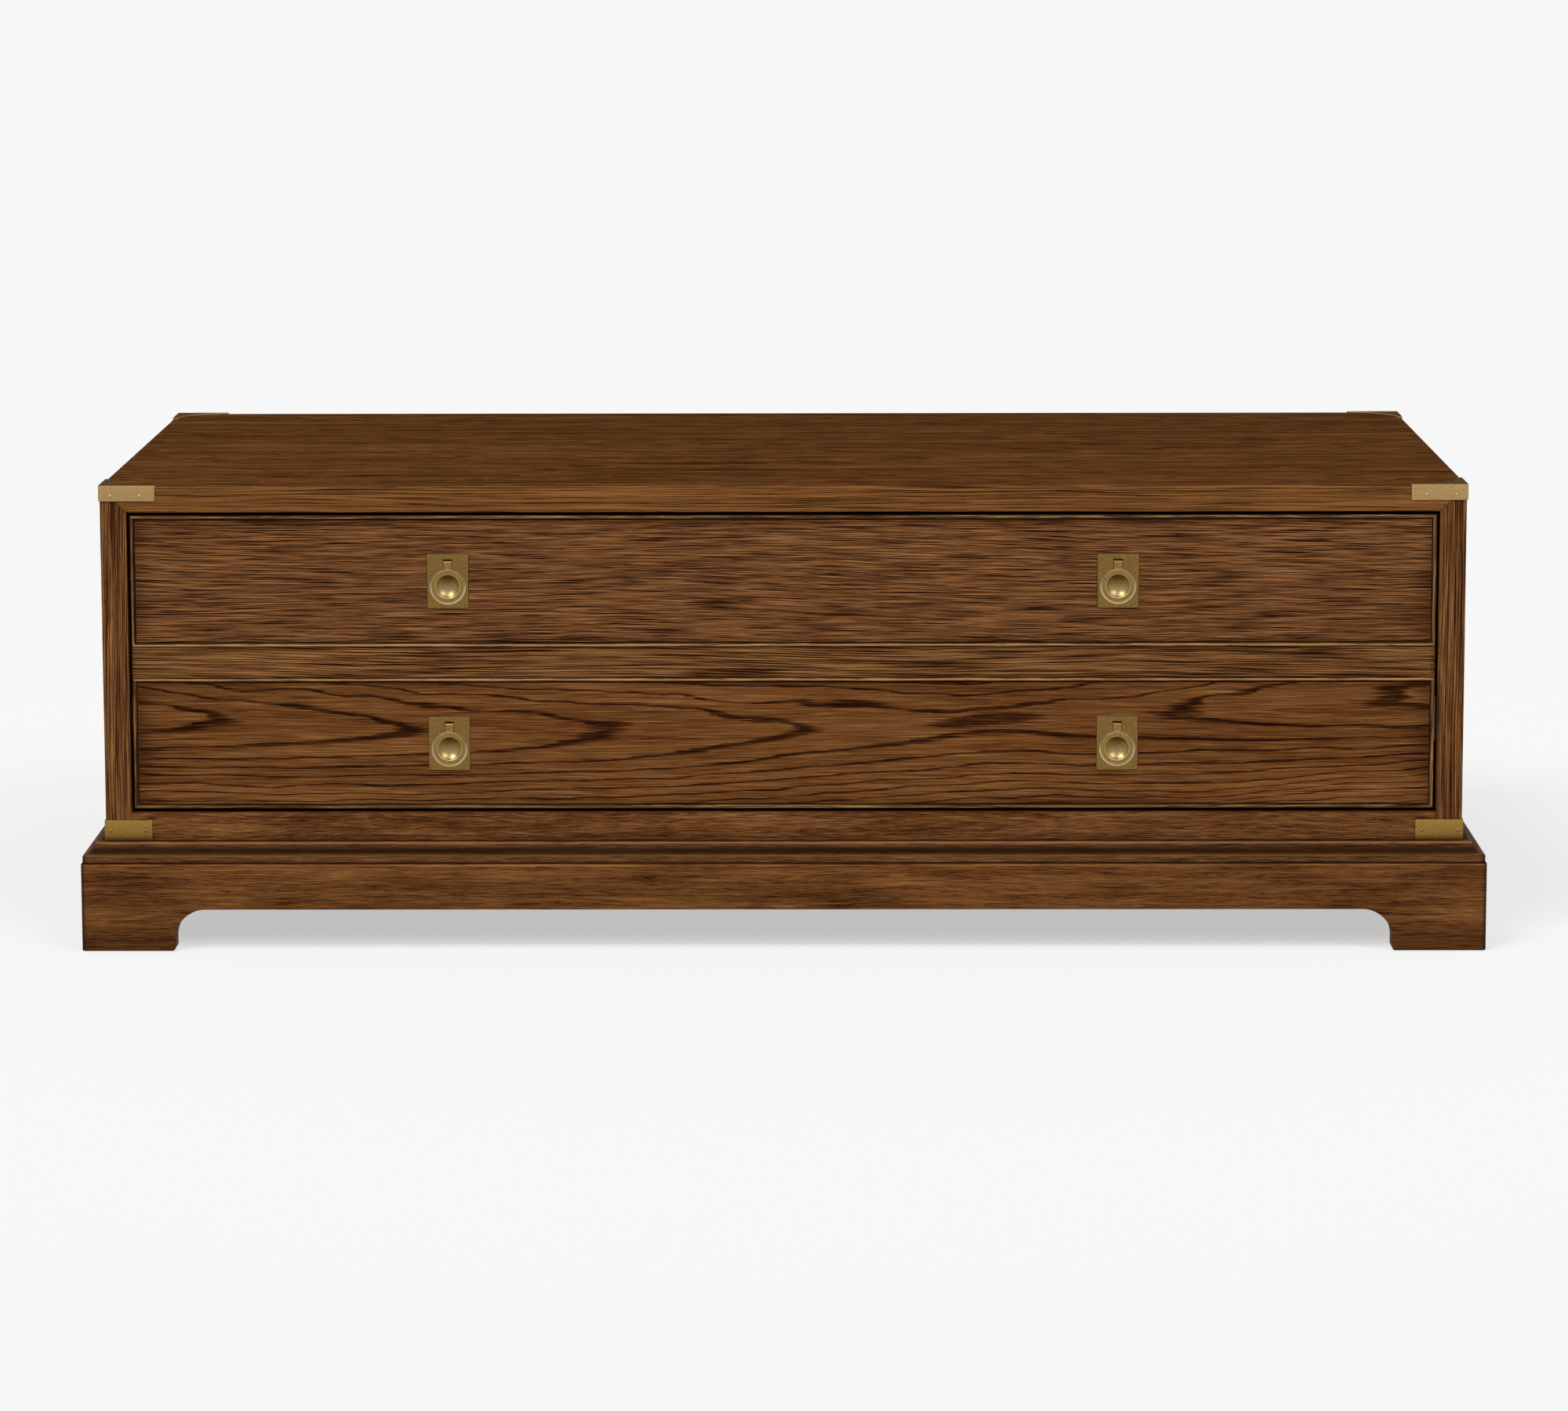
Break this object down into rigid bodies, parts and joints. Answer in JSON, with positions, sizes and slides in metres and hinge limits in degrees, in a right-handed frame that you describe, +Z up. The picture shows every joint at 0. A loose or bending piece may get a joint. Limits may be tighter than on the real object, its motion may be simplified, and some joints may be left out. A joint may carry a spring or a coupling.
{
  "type": "coffee table",
  "caption": "Low campaign-style coffee table: a mitred oak case on a moulded bracket plinth, with a deep drawer, brass corner brackets and flush ring pulls.",
  "frame": {"origin": "on the floor at the middle of the table's footprint", "axes": "+X to the right seen from the front, +Y to the back, +Z up; the drawer front faces -Y"},
  "size_m": [1.372, 0.711, 0.4572],
  "materials": {
    "case_oak": "brown stained oak, satin lacquer",
    "drawer_oak": "brown stained brushed oak, satin lacquer, dark glaze in the grain",
    "base_oak": "brown stained fine-grained wood, satin lacquer",
    "inner_wood": "clear lacquered light hardwood",
    "block_wood": "bare softwood",
    "corner_brass": "brushed lacquered brass",
    "pull_brass": "antique brass",
    "slide_steel": "zinc plated",
    "screw_steel": "zinc plated",
    "glide_plastic": "dark moulded plastic",
    "bumper_rubber": "black moulded rubber"
  },
  "bodies": {
    "case": {"back_panel": "case_oak", "base_cleats": "block_wood", "base_moulding_back": "base_oak", "base_moulding_front": "base_oak", "base_moulding_left": "base_oak", "base_moulding_right": "base_oak", "base_screws": "screw_steel", "bottom_bracket_back_left": "corner_brass", "bottom_bracket_back_right": "corner_brass", "bottom_bracket_front_left": "corner_brass", "bottom_bracket_front_right": "corner_brass", "bottom_bracket_pins": "corner_brass", "bottom_panel": "case_oak", "floor_glides": "glide_plastic", "front_bottom_rail": "base_oak", "left_side_panel": "case_oak", "plinth_back": "base_oak", "plinth_corner_blocks": "block_wood", "plinth_front": "base_oak", "plinth_left": "base_oak", "plinth_right": "base_oak", "right_side_panel": "case_oak", "slide_bumpers": "bumper_rubber", "slide_case_screws": "screw_steel", "slide_outer_left": "slide_steel", "slide_outer_right": "slide_steel", "top_bracket_back_left": "corner_brass", "top_bracket_back_right": "corner_brass", "top_bracket_front_left": "corner_brass", "top_bracket_front_right": "corner_brass", "top_bracket_pins": "corner_brass", "top_panel": "case_oak"},
    "drawer": {"centre_rail": "drawer_oak", "drawer_bottom": "inner_wood", "drawer_bottom_braces": "inner_wood", "drawer_box_back": "inner_wood", "drawer_box_front": "inner_wood", "drawer_box_left": "inner_wood", "drawer_box_right": "inner_wood", "face_screws": "screw_steel", "lower_cock_beads": "drawer_oak", "lower_drawer_face": "drawer_oak", "pull_plate_lower_left": "pull_brass", "pull_plate_lower_right": "pull_brass", "pull_plate_upper_left": "pull_brass", "pull_plate_upper_right": "pull_brass", "pull_screws": "screw_steel", "ring_hinge_pins": "pull_brass", "slide_box_screws": "screw_steel", "slide_inner_left": "slide_steel", "slide_inner_right": "slide_steel", "upper_cock_beads": "drawer_oak", "upper_drawer_face": "drawer_oak"},
    "left_slide_middle": {"slide_middle_left": "slide_steel"},
    "right_slide_middle": {"slide_middle_right": "slide_steel"},
    "ring_upper_left": {"pull_ring_upper_left": "pull_brass"},
    "ring_upper_right": {"pull_ring_upper_right": "pull_brass"},
    "ring_lower_left": {"pull_ring_lower_left": "pull_brass"},
    "ring_lower_right": {"pull_ring_lower_right": "pull_brass"}
  },
  "joints": [
    {"name": "drawer_slide", "type": "slide", "parent": "case", "child": "drawer", "axis": [0, -1, 0], "range_m": [0, 0.55]},
    {"name": "left_slide_travel", "type": "slide", "parent": "case", "child": "left_slide_middle", "axis": [0, -1, 0], "range_m": [0, 0.276]},
    {"name": "right_slide_travel", "type": "slide", "parent": "case", "child": "right_slide_middle", "axis": [0, -1, 0], "range_m": [0, 0.276]},
    {"name": "ring_upper_left_hinge", "type": "hinge", "parent": "drawer", "child": "ring_upper_left", "pos_m": [-0.326, -0.3302, 0.38045], "axis": [-1, 0, 0], "range_deg": [0, 95]},
    {"name": "ring_upper_right_hinge", "type": "hinge", "parent": "drawer", "child": "ring_upper_right", "pos_m": [0.326, -0.3302, 0.38045], "axis": [-1, 0, 0], "range_deg": [0, 95]},
    {"name": "ring_lower_left_hinge", "type": "hinge", "parent": "drawer", "child": "ring_lower_left", "pos_m": [-0.326, -0.3302, 0.22055], "axis": [-1, 0, 0], "range_deg": [0, 95]},
    {"name": "ring_lower_right_hinge", "type": "hinge", "parent": "drawer", "child": "ring_lower_right", "pos_m": [0.326, -0.3302, 0.22055], "axis": [-1, 0, 0], "range_deg": [0, 95]}
  ],
  "couplings": [
    {"joint": "left_slide_travel", "follows": "drawer_slide", "ratio": 0.5},
    {"joint": "right_slide_travel", "follows": "drawer_slide", "ratio": 0.5}
  ]
}
